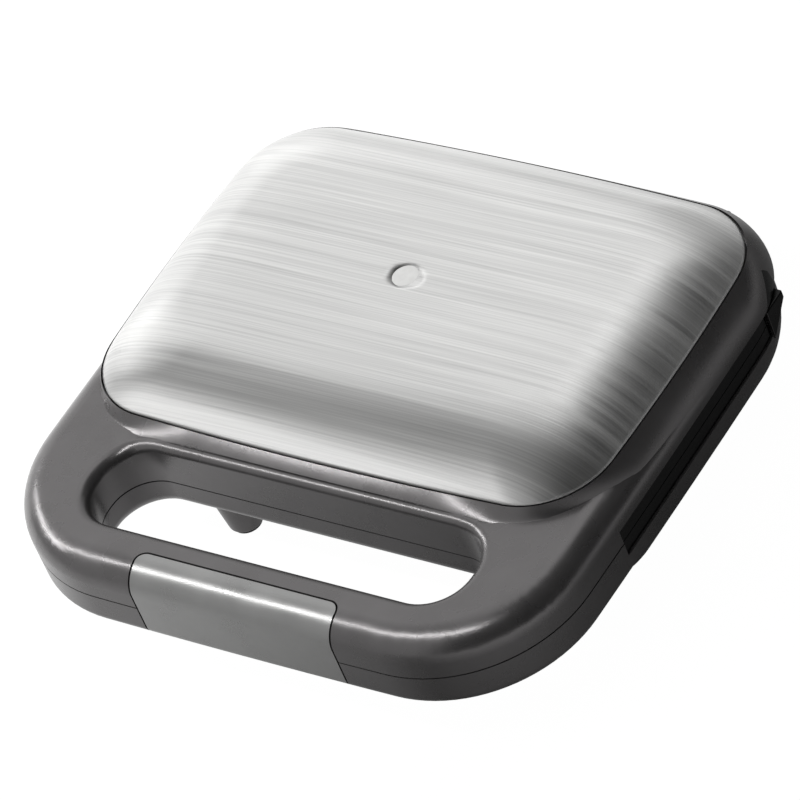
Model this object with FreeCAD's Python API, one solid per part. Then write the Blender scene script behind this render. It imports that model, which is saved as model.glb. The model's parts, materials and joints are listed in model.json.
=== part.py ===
import FreeCAD
import Part

import math
import os

from FreeCAD import Vector

# Sandwich maker with a hinged lid, a loop handle and a front latch.
# All sizes are millimetres. While a piece is being shaped, x runs to the right from the plane of
# symmetry, y runs back from the handle's front edge and z runs up from the joint plane between lid
# and base. The finished pieces are then moved so that the origin is under the middle of the object.

# Overall form of the two housings
width = 235.0
shell_depth = 225.0
corner_radius = 50.0
front_corner_radius = 54.0
lid_rear_radius = 46.0
outline_bow = 1.3
joint_plane_height = 38.0
joint_gap = 0.6
wall = 3.0
running_clearance = 0.3

# Upper housing
slab_height = 17.2
shoulder_radius = 10.8
collar_height = 21.7
collar_lip = 0.5
collar_root_height = 10.0
collar_root_inset = 1.6
collar_run = 4.5
collar_sink = 0.7

# Steel lid cover set in the collar
cover_front = 64.4
cover_side_margin = 6.9
cover_rear_margin = 8.7
cover_corner_radius = 31.3
cover_bow = 3.4
cover_thickness = 0.8
cover_gap = 0.35
cover_skirt = 2.4
cover_edge_radius = 40.0
cover_edge_angle = 35.0
cover_crown = 0.9
crown_depth = 47.2
cover_crown_angle = 87.0
dome_steps = 9
ledge_width = 3.6

# Handle opening
bar_depth = 21.8
slot_depth = 34.7
slot_end_margin = 35.7
slot_corner_radius = 16.5
slot_rim_radius = 4.5
slot_under_radius = 2.5

# Lower housing
handle_underside = 14.5
handle_edge_radius = 4.5
tub_front = 62.0
tub_front_corner = 30.0
tub_upright = 6.0
handle_overlap = 34.0

# Side openings where the plates show, and the rim and rails behind them
notch_front = 78.0
notch_rear_margin = 39.0
notch_height = 6.0
rear_rim_height = 5.0
rear_rim_inset = 3.0
rear_rim_width = 3.0
rail_inset = 1.3
rail_width = 5.0
rail_end_margin = 27.5
rail_end_height = 2.0
rail_drop = 8.0
rail_edge_radius = 0.8
plateau_inset = 10.5

# Cooking plates
plate_gap = 0.4
plate_side_margin = 13.0
plate_front = 67.5
plate_rear_margin = 24.0
plate_corner_radius = 10.0
plate_thickness = 3.5
plate_clearance = 0.5
ear_reveal = 0.8
ear_lip_width = 3.0
ear_edge_radius = 1.0
ear_rear_gap = 1.5
block_side_margin = 6.5
block_end_margin = 11.5
block_corner_radius = 8.0
pocket_floor = 3.0
pocket_margin = 2.5
pocket_land = 7.0
pocket_draft = 20.0
pocket_corner_radius = 8.0
pocket_floor_radius = 5.0
ridge_width = 5.0

# Heating parts behind each plate
stud_radius = 3.5
stud_length = 7.4
stud_inset = 12.0
heater_radius = 3.25
heater_gap = 0.15
heater_inset_x = 22.0
heater_inset_y = 22.0
heater_bend = 9.0
heater_tail_spread = 18.0
heater_tail_length = 9.8
terminal_radius = 1.5
terminal_length = 6.0
tray_thickness = 0.6
tray_margin = 4.0
tray_wall = 6.0
tray_corner_radius = 12.0
tray_floor_gap = 0.5
thermostat_radius = 8.0
thermostat_height = 6.4
thermostat_flange = 1.2
thermostat_step = 1.0
blade_length = 10.4
blade_thickness = 1.0
thermostat_inset = 46.0
fuse_radius = 2.0
fuse_length = 11.0
fuse_inset = 54.0

# Plate screws and the bosses that they go into
screw_side_margin = 54.5
screw_end_margin = 5.5
screw_radius = 1.5
screw_head_radius = 3.0
screw_head_height = 1.8
screw_length = 12.0
boss_radius = 4.0
tray_screw_head = 1.3
tray_screw_length = 5.0
screw_fit = 0.05
boss_web = 5.0

# Hinge
hinge_setback = 5.5
hinge_drop = 6.5
knuckle_radius = 5.0
hinge_margin = 59.5
lug_width = 16.0
ear_width = 7.0
hinge_side_gap = 0.4
hinge_pin_radius = 2.5
hinge_running_fit = 0.08
hinge_seat_fit = 0.02
lug_reach = 8.0
lug_slope = 39.0

# Latch
latch_width = 87.0
latch_top_depth = 12.3
latch_corner_radius = 4.0
latch_wall = 2.6
latch_gap = 0.75
latch_pivot_setback = 2.7
latch_pivot_depth = 3.6
latch_knuckle_radius = 2.2
latch_pin_radius = 1.25
latch_running_fit = 0.06
latch_seat_fit = 0.02
latch_lug_width = 9.0
latch_lug_spacing = 56.0
latch_lug_gap = 0.4
catch_height = 3.0
catch_reach = 2.6
catch_gap = 0.5

# Pilot light at the middle of the lid
lens_radius = 5.0
lens_flange = 1.6
lens_flange_height = 1.2
lens_wall = 0.8
lens_barrel = 6.0
lens_gap = 0.15
lamp_clearance = 0.66
lamp_gap = 0.1

# Feet
foot_margin = 60.1
foot_height = 10.0
foot_front = 74.0
foot_rear_margin = 29.0
foot_tip_radius = 6.8
foot_taper = 7.0
foot_edge_radius = 0.9
pad_radius = 5.6
pad_height = 3.0
pad_recess = 1.5
pad_clearance = 0.1

# Mains inlet at the back of the base
gland_height = -10.5
gland_bore_radius = 3.6
gland_body_radius = 6.0
gland_flange_radius = 8.0
gland_flange = 2.0
gland_clearance = 0.05
gland_boss_wall = 1.6
gland_boss_proud = 1.0
gland_boss_length = 8.0
terminals_width = 26.0
terminals_length = 11.0
terminals_height = 9.0
terminals_x = 30.0
terminals_gap = 0.25
terminals_seat = 3.0
terminals_hole = 1.7
terminals_ways = 3

# Values that follow from the ones above
half_width = width / 2
hinge_y = shell_depth + hinge_setback
hinge_z = -hinge_drop
latch_pivot_y = latch_top_depth - latch_pivot_setback
latch_pivot_z = slab_height - latch_pivot_depth
overall_depth = hinge_y + knuckle_radius
origin_shift = Vector(0, -overall_depth / 2, joint_plane_height)
cover_half_width = half_width - cover_side_margin
cover_rear = shell_depth - cover_rear_margin
slot_rear = bar_depth + slot_depth
slot_half_width = half_width - slot_end_margin
tub_depth = joint_plane_height - foot_height
tub_edge_radius = tub_depth - tub_upright
notch_rear = shell_depth - notch_rear_margin
plate_half_width = half_width - plate_side_margin
plate_rear = shell_depth - plate_rear_margin
plate_middle = (plate_front + plate_rear) / 2
plate_face = plate_gap / 2
block_half_width = plate_half_width - block_side_margin
block_front = plate_front + block_end_margin
block_rear = plate_rear - block_end_margin
tray_face = tub_depth - wall - tray_floor_gap - tray_screw_head - tray_thickness
block_back = tray_face - stud_length
block_depth = block_back - plate_face
pocket_depth = block_depth - pocket_floor
lid_floor = joint_gap / 2
base_top = -joint_gap / 2
rebate_floor = collar_height - cover_skirt
tub_floor = -tub_depth + wall
plate_back = plate_face + plate_thickness
lens_y = (cover_front + cover_rear) / 2
foot_rear = shell_depth - foot_rear_margin
foot_x = half_width - foot_margin
hinge_x = half_width - hinge_margin
screw_x = plate_half_width - screw_side_margin
thermostat_x = thermostat_inset - block_half_width
fuse_x = block_half_width - fuse_inset
x_axis = Vector(1, 0, 0)
y_axis = Vector(0, 1, 0)
z_axis = Vector(0, 0, 1)


# Helpers for outlines and solids

def along(centre, through, radius):
    """Point at the given radius from a centre, in the direction of another point."""
    direction = through.sub(centre).normalize()
    return centre.add(direction.multiply(radius))


def corner_centre(side_centre, side_radius, end_centre, end_radius, radius):
    """Centre of the corner arc that touches a side arc and an end arc from inside."""
    a = side_radius - radius
    b = end_radius - radius
    span = end_centre.sub(side_centre)
    distance = span.Length
    reach = (a * a - b * b + distance * distance) / (2 * distance)
    lift = math.sqrt(a * a - reach * reach)
    unit = Vector(span).normalize()
    foot = side_centre.add(Vector(unit).multiply(reach))
    across = Vector(-unit.y, unit.x, 0).multiply(lift)
    options = (foot.add(across), foot.sub(across))
    return max(options, key=lambda point: point.x)


def arc(start, middle, end):
    return Part.Arc(start, middle, end).toShape()


def bowed_outline(half, front, rear, front_radius, rear_radius, bow, z):
    """Closed wire of four shallow arcs, joined at the corners by arcs that touch both."""
    middle = (front + rear) / 2
    run = (rear - front) / 2
    side_radius = (run * run + bow * bow) / (2 * bow)
    end_radius = (half * half + bow * bow) / (2 * bow)
    side_centre = Vector(half - side_radius, middle, z)
    front_centre = Vector(0, front + end_radius, z)
    rear_centre = Vector(0, rear - end_radius, z)
    corners = {}
    for name, centre, radius in (("front", front_centre, front_radius), ("rear", rear_centre, rear_radius)):
        hub = corner_centre(side_centre, side_radius, centre, end_radius, radius)
        on_side = along(side_centre, hub, side_radius)
        on_end = along(centre, hub, end_radius)
        halfway = on_side.add(on_end).multiply(0.5)
        corners[name] = (on_side, along(hub, halfway, radius), on_end)

    def mirrored(point):
        return Vector(-point.x, point.y, point.z)

    side_f, bend_f, end_f = corners["front"]
    side_r, bend_r, end_r = corners["rear"]
    right = Vector(half, middle, z)
    edges = [
        arc(side_f, right, side_r),
        arc(side_r, bend_r, end_r),
        arc(end_r, Vector(0, rear, z), mirrored(end_r)),
        arc(mirrored(end_r), mirrored(bend_r), mirrored(side_r)),
        arc(mirrored(side_r), mirrored(right), mirrored(side_f)),
        arc(mirrored(side_f), mirrored(bend_f), mirrored(end_f)),
        arc(mirrored(end_f), Vector(0, front, z), end_f),
        arc(end_f, bend_f, side_f),
    ]
    return Part.Wire(edges)


def inset_polygon(points, distance):
    """Convex polygon, counter-clockwise, with every side moved inwards by a distance."""
    count = len(points)
    moved = []
    for i in range(count):
        a = Vector(*points[i - 1], 0)
        b = Vector(*points[i], 0)
        c = Vector(*points[(i + 1) % count], 0)
        before = b.sub(a).normalize()
        after = c.sub(b).normalize()
        turn = before.getAngle(after)
        mitre = distance / math.cos(turn / 2)
        inwards = Vector(-before.y - after.y, before.x + after.x, 0).normalize()
        moved.append((b.x + inwards.x * mitre, b.y + inwards.y * mitre))
    return moved


def rounded_polygon(points, radius, z):
    """Closed wire round a convex polygon, with an arc of the same radius at each corner."""
    count = len(points)
    starts = []
    ends = []
    bends = []
    for i in range(count):
        a = Vector(*points[i - 1], z)
        b = Vector(*points[i], z)
        c = Vector(*points[(i + 1) % count], z)
        back = a.sub(b).normalize()
        ahead = c.sub(b).normalize()
        half_angle = back.getAngle(ahead) / 2
        reach = radius / math.tan(half_angle)
        bisector = back.add(ahead).normalize()
        depth = radius / math.sin(half_angle) - radius
        starts.append(b.add(back.multiply(reach)))
        ends.append(b.add(ahead.multiply(reach)))
        bends.append(b.add(bisector.multiply(depth)))
    edges = []
    for i in range(count):
        edges.append(arc(starts[i], bends[i], ends[i]))
        following = starts[(i + 1) % count]
        if ends[i].sub(following).Length > 1e-6:
            edges.append(Part.LineSegment(ends[i], following).toShape())
    return Part.Wire(edges)


def rectangle(x0, x1, y0, y1):
    return [(x0, y0), (x1, y0), (x1, y1), (x0, y1)]


def prism(wire, height):
    return Part.Face(wire).extrude(Vector(0, 0, height))


def box(x0, x1, y0, y1, z0, z1):
    return Part.makeBox(x1 - x0, y1 - y0, z1 - z0, Vector(x0, y0, z0))


def rod(radius, x0, x1, y, z):
    """Cylinder along x."""
    return Part.makeCylinder(radius, x1 - x0, Vector(x0, y, z), x_axis)


def post(radius, x, y, z0, z1):
    """Cylinder along z."""
    return Part.makeCylinder(radius, z1 - z0, Vector(x, y, z0), z_axis)


def profile_along_x(points, x0, x1):
    """Prism along x on a closed outline of (y, z) points."""
    corners = [Vector(x0, y, z) for y, z in points]
    wire = Part.makePolygon(corners + corners[:1])
    return Part.Face(wire).extrude(Vector(x1 - x0, 0, 0))


def edges_on_plane(shape, z, tolerance=1e-4):
    """Edges that lie flat on a horizontal plane."""
    found = []
    for edge in shape.Edges:
        bounds = edge.BoundBox
        if abs(bounds.ZMin - z) < tolerance and abs(bounds.ZMax - z) < tolerance:
            found.append(edge)
    return found


def one_solid(shape):
    """The single solid of a boolean's result."""
    cleaned = shape.removeSplitter()
    if len(cleaned.Solids) != 1:
        raise ValueError("expected one solid, found %d" % len(cleaned.Solids))
    return cleaned.Solids[0]


def mirrored_pair(shape):
    """A shape and its mirror image across the plane of symmetry."""
    return [shape, shape.mirror(Vector(0, 0, 0), x_axis)]


def upside_down(shape):
    """Mirror image across the joint plane, for pieces that the lid and the base share."""
    return shape.mirror(Vector(0, 0, 0), z_axis)


def shell_outline(z, inset=0.0):
    """Outline of both housings, moved inwards by an inset."""
    front_radius = front_corner_radius - inset
    rear_radius = corner_radius - inset
    return bowed_outline(
        half_width - inset, inset, shell_depth - inset, front_radius, rear_radius, outline_bow, z
    )


def lid_outline(z):
    """Outline of the lid, whose rear corners are tighter than the base's."""
    return bowed_outline(
        half_width, 0, shell_depth, front_corner_radius, lid_rear_radius, outline_bow, z
    )


def cover_outline(z, spread=0.0):
    """Outline of the seam round the steel cover, moved outwards by a spread."""
    radius = cover_corner_radius + spread
    return bowed_outline(
        cover_half_width + spread, cover_front - spread, cover_rear + spread, radius, radius, cover_bow, z
    )


def slot_outline(z, spread=0.0):
    corners = rectangle(
        -slot_half_width - spread, slot_half_width + spread, bar_depth - spread, slot_rear + spread
    )
    return rounded_polygon(corners, slot_corner_radius + spread, z)


def screw_places():
    """Plan positions of the plate screws."""
    places = []
    for x in (-screw_x, screw_x):
        for y in (plate_front + screw_end_margin, plate_rear - screw_end_margin):
            places.append((x, y))
    return places


def stud_places():
    """Plan positions of the studs behind a plate, which carry its heat reflector."""
    places = []
    for x in (-block_half_width + stud_inset, block_half_width - stud_inset):
        for y in (block_front + stud_inset, block_rear - stud_inset):
            places.append((x, y))
    return places


# Latch space and hinge pieces, which several housings share

def latch_prism(grow, z0, z1):
    """Plan shape of the latch: square at the front, rounded where its top edge meets the handle."""
    half = latch_width / 2 + grow
    back = latch_top_depth + grow
    radius = latch_corner_radius + grow
    ahead = -shoulder_radius
    left_bend = Vector(-half + radius, back - radius, z0)
    right_bend = Vector(half - radius, back - radius, z0)
    start = Vector(-half, ahead, z0)
    end = Vector(half, ahead, z0)
    left_low = Vector(-half, back - radius, z0)
    left_high = Vector(-half + radius, back, z0)
    right_low = Vector(half, back - radius, z0)
    right_high = Vector(half - radius, back, z0)
    diagonal = radius * math.sqrt(0.5)
    edges = [
        Part.LineSegment(start, end).toShape(),
        Part.LineSegment(end, right_low).toShape(),
        arc(right_low, right_bend.add(Vector(diagonal, diagonal, 0)), right_high),
        Part.LineSegment(right_high, left_high).toShape(),
        arc(left_high, left_bend.add(Vector(-diagonal, diagonal, 0)), left_low),
        Part.LineSegment(left_low, start).toShape(),
    ]
    return prism(Part.Wire(edges), z1 - z0)


def latch_space():
    """Room that the latch needs in the front of the handle."""
    return latch_prism(latch_gap, -handle_underside - wall, slab_height + wall)


def latch_lug_places():
    return (-latch_lug_spacing / 2, latch_lug_spacing / 2)


def latch_lug(x, grow=0.0):
    """Lug on the handle's core that holds the latch's pin, or the room round it."""
    x0 = x - latch_lug_width / 2 - grow
    x1 = x + latch_lug_width / 2 + grow
    radius = latch_knuckle_radius + grow
    barrel = rod(radius, x0, x1, latch_pivot_y, latch_pivot_z)
    root = latch_top_depth + latch_gap + wall
    web_top = latch_pivot_z + latch_pin_radius / 2 + grow
    web = box(x0, x1, latch_pivot_y, root, latch_pivot_z - radius, web_top)
    return barrel.fuse(web)


def hinge_centres():
    return (-hinge_x, hinge_x)


def lid_lug(x):
    """Arm of the lid that reaches back over the base's rim and down to the hinge pin."""
    x0 = x - lug_width / 2
    x1 = x + lug_width / 2
    barrel = rod(knuckle_radius, x0, x1, hinge_y, hinge_z)
    slope = math.radians(lug_slope)
    touch_y = hinge_y + knuckle_radius * math.cos(slope)
    touch_z = hinge_z + knuckle_radius * math.sin(slope)
    top = notch_height + wall
    root = shell_depth - lug_reach
    arm = profile_along_x(
        [
            (root, lid_floor + plate_face),
            (hinge_y - knuckle_radius, lid_floor + plate_face),
            (hinge_y - knuckle_radius, hinge_z),
            (hinge_y, hinge_z),
            (touch_y, touch_z),
            (shell_depth - plate_face, top),
            (root, top),
        ],
        x0,
        x1,
    )
    return barrel.fuse(arm)


def base_ears(x):
    """Pair of ears behind the base, one each side of the lid's arm."""
    inner = lug_width / 2 + hinge_side_gap
    ears = []
    for side in (-1, 1):
        near = x + side * inner
        far = x + side * (inner + ear_width)
        x0 = min(near, far)
        x1 = max(near, far)
        barrel = rod(knuckle_radius, x0, x1, hinge_y, hinge_z)
        web = box(x0, x1, shell_depth - wall, hinge_y, hinge_z - knuckle_radius, hinge_z + knuckle_radius)
        ears.append(barrel.fuse(web))
    return ears


def hinge_width():
    return lug_width + 2 * hinge_side_gap + 2 * ear_width


# Lid pieces

def collar():
    """Raised collar round the steel cover: steep at the sides and back, a hollow curve at the front.

    At the front each section follows a quarter ellipse down to the handle's top. At the sides and back
    its share of the way from the cover's seam to the housing's outline grows with the fall."""
    hollow_fall = collar_height - slab_height + collar_sink
    steps = [(hollow_fall * math.sin(math.radians(turn)), collar_run * (1 - math.cos(math.radians(turn))))
             for turn in range(0, 90, 15)]
    steps.append((collar_height - collar_root_height, collar_run))
    lip_share = collar_lip / cover_side_margin
    root_share = 1 - collar_root_inset / cover_side_margin
    sections = []
    for fall, run in steps:
        share = fall / (collar_height - collar_root_height)
        share = lip_share + (root_share - lip_share) * share ** 0.75
        side = cover_half_width + cover_side_margin * share
        rear = cover_rear + cover_rear_margin * share
        front_radius = cover_corner_radius + (corner_radius - cover_corner_radius) * share
        rear_radius = cover_corner_radius + (lid_rear_radius - cover_corner_radius) * share
        bow = cover_bow + (outline_bow - cover_bow) * share
        front = cover_front - collar_lip - run
        z = collar_height - fall
        sections.append(bowed_outline(side, front, rear, front_radius, rear_radius, bow, z))
    return Part.makeLoft(sections, True, True)


def handle_slab():
    """Upper half of the housings' outer form, with the handle's opening."""
    body = prism(lid_outline(lid_floor), slab_height - lid_floor)
    body = body.makeFillet(shoulder_radius, edges_on_plane(body, slab_height))
    opening = prism(slot_outline(0), slab_height)
    body = body.cut(opening)
    rim = []
    for edge in edges_on_plane(body, slab_height):
        bounds = edge.BoundBox
        if bounds.YMax < slot_rear + slot_rim_radius and bounds.YMin > bar_depth - slot_rim_radius:
            rim.append(edge)
    return body.makeFillet(slot_rim_radius, rim)


def plate_opening(z0, z1):
    """Hole in a housing's deck that takes a plate."""
    grow = plate_clearance
    half = plate_half_width + grow
    corners = rectangle(-half, half, plate_front - grow, plate_rear + grow)
    return prism(rounded_polygon(corners, plate_corner_radius + grow, z0), z1 - z0)


def ear_openings(z0, z1):
    """Gaps in the side walls where the plates' ears come out."""
    inner = plate_half_width - plate_corner_radius
    gap = box(inner, half_width + wall, notch_front, notch_rear, z0, z1)
    return mirrored_pair(gap)


def lid_relief():
    """Space under the lid's edge, behind the notch's front end, outside the raised floor."""
    outer = prism(shell_outline(-wall, -wall), notch_height + wall)
    inner = prism(shell_outline(-wall, plateau_inset), notch_height + wall)
    behind = box(-width, width, notch_front, shell_depth + wall, -wall, notch_height)
    return outer.cut(inner).common(behind)


def boss_with_web(x, y, wall_y, z0, z1):
    """Screw boss that a web ties to the wall in front of it or behind it."""
    boss = post(boss_radius, x, y, z0, z1)
    web = box(x - boss_web / 2, x + boss_web / 2, min(y, wall_y), max(y, wall_y), z0, z1)
    return boss.fuse(web)


def upper_housing():
    body = handle_slab().fuse(collar())
    inner = cover_outline(lid_floor + wall, -ledge_width)
    body = body.cut(prism(inner, collar_height))
    body = body.cut(prism(cover_outline(rebate_floor, cover_gap), collar_height))
    body = body.cut(plate_opening(-wall, lid_floor + 2 * wall))
    body = body.cut(lid_relief())
    for gap in ear_openings(-wall, notch_height):
        body = body.cut(gap)
    body = body.cut(latch_space())
    for x, y in screw_places():
        wall_y = cover_front + ledge_width - wall / 2
        if y > plate_middle:
            wall_y = cover_rear - ledge_width + wall / 2
        body = body.fuse(boss_with_web(x, y, wall_y, plate_back, rebate_floor - cover_skirt))
    for x, y in screw_places():
        body = body.cut(post(screw_radius + screw_fit, x, y, 0, screw_length + 1))
    for x in latch_lug_places():
        body = body.fuse(latch_lug(x))
    reach = latch_width / 2
    body = body.cut(rod(latch_pin_radius + latch_seat_fit, -reach, reach, latch_pivot_y, latch_pivot_z))
    for x in hinge_centres():
        body = body.fuse(lid_lug(x))
    body = body.cut(rod(hinge_pin_radius + hinge_running_fit, -width, width, hinge_y, hinge_z))
    return one_solid(body)


def cover_dome(thickness):
    """Pillow of the lid cover: an arc rises from the seam, then a slight crown closes the top."""
    edge_angle = math.radians(cover_edge_angle)
    radius = cover_edge_radius - thickness
    start = cover_edge_radius * math.cos(edge_angle)
    sink = cover_edge_radius * math.sin(edge_angle)
    steps = []
    for turn in range(dome_steps):
        angle = edge_angle + (math.radians(cover_crown_angle) - edge_angle) * turn / (dome_steps - 1)
        steps.append((start - radius * math.cos(angle), radius * math.sin(angle) - sink))
    flat_inset, flat_height = steps[-1]
    crown_inset = (cover_rear - cover_front - crown_depth) / 2 - cover_gap
    top = cover_edge_radius - sink + cover_crown - thickness
    for share in (0.33, 0.67, 1.0):
        inset = flat_inset + (crown_inset - flat_inset) * share
        height = flat_height + (top - flat_height) * (1 - (1 - share) ** 2)
        steps.append((inset, height))
    sections = []
    for inset, height in steps:
        fade = 1 - inset / (cover_half_width - cover_gap)
        sections.append(
            bowed_outline(
                cover_half_width - cover_gap - inset,
                cover_front + cover_gap + inset,
                cover_rear - cover_gap - inset,
                cover_corner_radius * fade,
                cover_corner_radius * fade,
                cover_bow * fade,
                collar_height + height,
            )
        )
    return Part.makeLoft(sections, True, True)


def cover_top():
    """Height of the middle of the lid."""
    return collar_height + cover_edge_radius * (1 - math.sin(math.radians(cover_edge_angle))) + cover_crown


def lid_cover():
    outer = cover_dome(0).fuse(prism(cover_outline(rebate_floor, -cover_gap), cover_skirt))
    hollow_outline = cover_outline(rebate_floor, -cover_gap - cover_thickness)
    hollow = cover_dome(cover_thickness).fuse(prism(hollow_outline, cover_skirt))
    shell = outer.cut(hollow)
    shell = shell.cut(post(lens_radius + lens_gap, 0, lens_y, collar_height, cover_top() + wall))
    return one_solid(shell)


def pilot_lens():
    top = cover_top()
    under = top - cover_thickness
    lens = post(lens_radius, 0, lens_y, under - lens_barrel, top)
    lens = lens.fuse(post(lens_radius + lens_flange, 0, lens_y, under - lens_flange_height, under))
    bore = post(lens_radius - lens_wall, 0, lens_y, under - lens_barrel, under - lens_flange_height)
    return one_solid(lens.cut(bore))


def pilot_lamp():
    under = cover_top() - cover_thickness - lens_flange_height
    radius = lens_radius - lens_wall - lamp_gap
    bulb = post(radius, 0, lens_y, under - lens_barrel, under - radius)
    bulb = bulb.fuse(Part.makeSphere(radius, Vector(0, lens_y, under - radius)))
    end = cover_top() - cover_thickness - lens_barrel
    bulb = bulb.common(post(lens_radius, 0, lens_y, end - lens_flange_height, under))
    base = post(lens_radius, 0, lens_y, tray_face + tray_thickness + lamp_clearance, end)
    return one_solid(bulb.fuse(base))


# Plates and heating parts, drawn for the base and mirrored for the lid

def plate_ear():
    """One side ear of a plate: a tongue with a lip that fills the side opening."""
    y0 = notch_front + plate_clearance
    y1 = notch_rear - ear_rear_gap
    inner = plate_half_width - plate_corner_radius
    reach = box(inner, half_width, y0, y1, -notch_height, 0)
    tongue = prism(shell_outline(-plate_back, ear_reveal), plate_thickness).common(reach)
    low = -notch_height + running_clearance
    lip = prism(shell_outline(low, ear_reveal), -plate_face - low)
    lip = lip.cut(prism(shell_outline(low, ear_reveal + ear_lip_width), -plate_face - low))
    ear = one_solid(tongue.fuse(lip.common(reach)))
    outer = []
    for edge in edges_on_plane(ear, low):
        on_outside = edge.CenterOfMass.x > half_width - ear_reveal - ear_lip_width / 2
        if on_outside and edge.Length > (notch_rear - notch_front) / 2:
            outer.append(edge)
    return ear.makeFillet(ear_edge_radius, outer)


def pocket(corners):
    """One triangular pocket, narrower at its floor."""
    taper = pocket_depth * math.tan(math.radians(pocket_draft))
    mouth = rounded_polygon(corners, pocket_corner_radius, -plate_face)
    floor = rounded_polygon(inset_polygon(corners, taper), pocket_floor_radius, -plate_face - pocket_depth)
    return Part.makeLoft([mouth, floor], True, True)


def pockets():
    """Two triangular pockets on each half of a plate, with a ridge along the diagonal between them."""
    x0 = pocket_land / 2
    x1 = block_half_width - pocket_margin
    y0 = block_front + pocket_margin
    y1 = block_rear - pocket_margin
    span = math.hypot(x1 - x0, y1 - y0)
    across_x = ridge_width / 2 * span / (y1 - y0)
    across_y = ridge_width / 2 * span / (x1 - x0)
    outer = [(x0 + across_x, y0), (x1, y0), (x1, y1 - across_y)]
    inner = [(x0, y0 + across_y), (x1 - across_x, y1), (x0, y1)]
    made = []
    for corners in (outer, inner):
        made.extend(mirrored_pair(pocket(corners)))
    return made


def lower_plate():
    corners = rectangle(-plate_half_width, plate_half_width, plate_front, plate_rear)
    body = prism(rounded_polygon(corners, plate_corner_radius, -plate_back), plate_thickness)
    block = rectangle(-block_half_width, block_half_width, block_front, block_rear)
    body = body.fuse(prism(rounded_polygon(block, block_corner_radius, -block_back), block_depth))
    for ear in mirrored_pair(plate_ear()):
        body = body.fuse(ear)
    for x, y in stud_places():
        body = body.fuse(post(stud_radius, x, y, -tray_face, -plate_back))
    for shape in pockets():
        body = body.cut(shape)
    for x, y in screw_places():
        body = body.cut(post(screw_radius + screw_fit, x, y, -plate_back, 0))
        head = post(screw_head_radius + screw_fit, x, y, -plate_face - screw_head_height, 0)
        body = body.cut(head)
    for x, y in stud_places():
        body = body.cut(post(screw_radius + screw_fit, x, y, -tray_face, -tray_face + tray_screw_length))
    return one_solid(body)


def heater_path(z):
    """Open loop of straight runs and bends behind the pockets, with two tails towards the hinge."""
    side = block_half_width - heater_inset_x
    front = block_front + heater_inset_y
    rear = block_rear - heater_inset_y
    tail = rear + heater_tail_length
    points = [
        (-heater_tail_spread, tail),
        (-heater_tail_spread, rear),
        (-side, rear),
        (-side, front),
        (side, front),
        (side, rear),
        (heater_tail_spread, rear),
        (heater_tail_spread, tail),
    ]
    places = [Vector(x, y, z) for x, y in points]
    edges = []
    start = places[0]
    for i in range(1, len(places) - 1):
        back = places[i - 1].sub(places[i]).normalize()
        ahead = places[i + 1].sub(places[i]).normalize()
        bend_in = places[i].add(Vector(back).multiply(heater_bend))
        bend_out = places[i].add(Vector(ahead).multiply(heater_bend))
        hub = bend_in.add(Vector(ahead).multiply(heater_bend))
        middle = along(hub, places[i], heater_bend)
        if bend_in.sub(start).Length > 1e-6:
            edges.append(Part.LineSegment(start, bend_in).toShape())
        edges.append(arc(bend_in, middle, bend_out))
        start = bend_out
    edges.append(Part.LineSegment(start, places[-1]).toShape())
    return Part.Wire(edges)


def lower_heater():
    z = -block_back - heater_gap - heater_radius
    path = heater_path(z)
    start = path.OrderedVertexes[0].Point
    section = Part.Wire(Part.makeCircle(heater_radius, start, y_axis))
    tube = path.makePipeShell([section], True, False)
    for x in (-heater_tail_spread, heater_tail_spread):
        pin = Part.makeCylinder(terminal_radius, terminal_length + 1, Vector(x, start.y - 1, z), y_axis)
        tube = tube.fuse(pin)
    return one_solid(tube)


def lower_reflector():
    """Thin tray behind the heater, screwed to the plate's studs."""
    half = block_half_width - tray_margin
    corners = rectangle(-half, half, block_front + tray_margin, block_rear - tray_margin)
    low = -tray_face - tray_thickness
    pan = prism(rounded_polygon(corners, tray_corner_radius, low), tray_thickness + tray_wall)
    inside = inset_polygon(corners, tray_thickness)
    hollow = rounded_polygon(inside, tray_corner_radius - tray_thickness, -tray_face)
    pan = pan.cut(prism(hollow, tray_wall))
    for x, y in stud_places():
        pan = pan.cut(post(screw_radius + screw_fit, x, y, low, -tray_face))
    return one_solid(pan)


def screws(places, z_head, head_radius, head_height, length):
    """Group of screws whose heads end at a height and whose shanks run on from there."""
    made = []
    direction = 1 if length > 0 else -1
    for x, y in places:
        neck = z_head + direction * head_height
        tip = z_head + length
        head = post(head_radius, x, y, min(z_head, neck), max(z_head, neck))
        shank = post(screw_radius, x, y, min(neck, tip), max(neck, tip))
        made.append(one_solid(head.fuse(shank)))
    return Part.makeCompound(made)


def lower_plate_screws():
    return screws(screw_places(), -plate_face, screw_head_radius, screw_head_height, -screw_length)


def lower_reflector_screws():
    head = -tray_face - tray_thickness - tray_screw_head
    return screws(stud_places(), head, screw_head_radius, tray_screw_head, tray_screw_length)


def thermostat():
    """Disc thermostat pressed against the plate's back, with two blade terminals."""
    top = -block_back - heater_gap
    body = post(thermostat_radius, thermostat_x, plate_middle, top - thermostat_flange, top)
    low = top - thermostat_height
    cap = post(thermostat_radius - thermostat_step, thermostat_x, plate_middle, low, top - thermostat_flange)
    body = body.fuse(cap)
    for side in (-1, 1):
        x0 = thermostat_x + side * thermostat_radius / 2 - terminal_radius
        blade = box(
            x0, x0 + 2 * terminal_radius, plate_middle, plate_middle + blade_length,
            low + blade_thickness, low + 2 * blade_thickness
        )
        body = body.fuse(blade)
    return one_solid(body)


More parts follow.
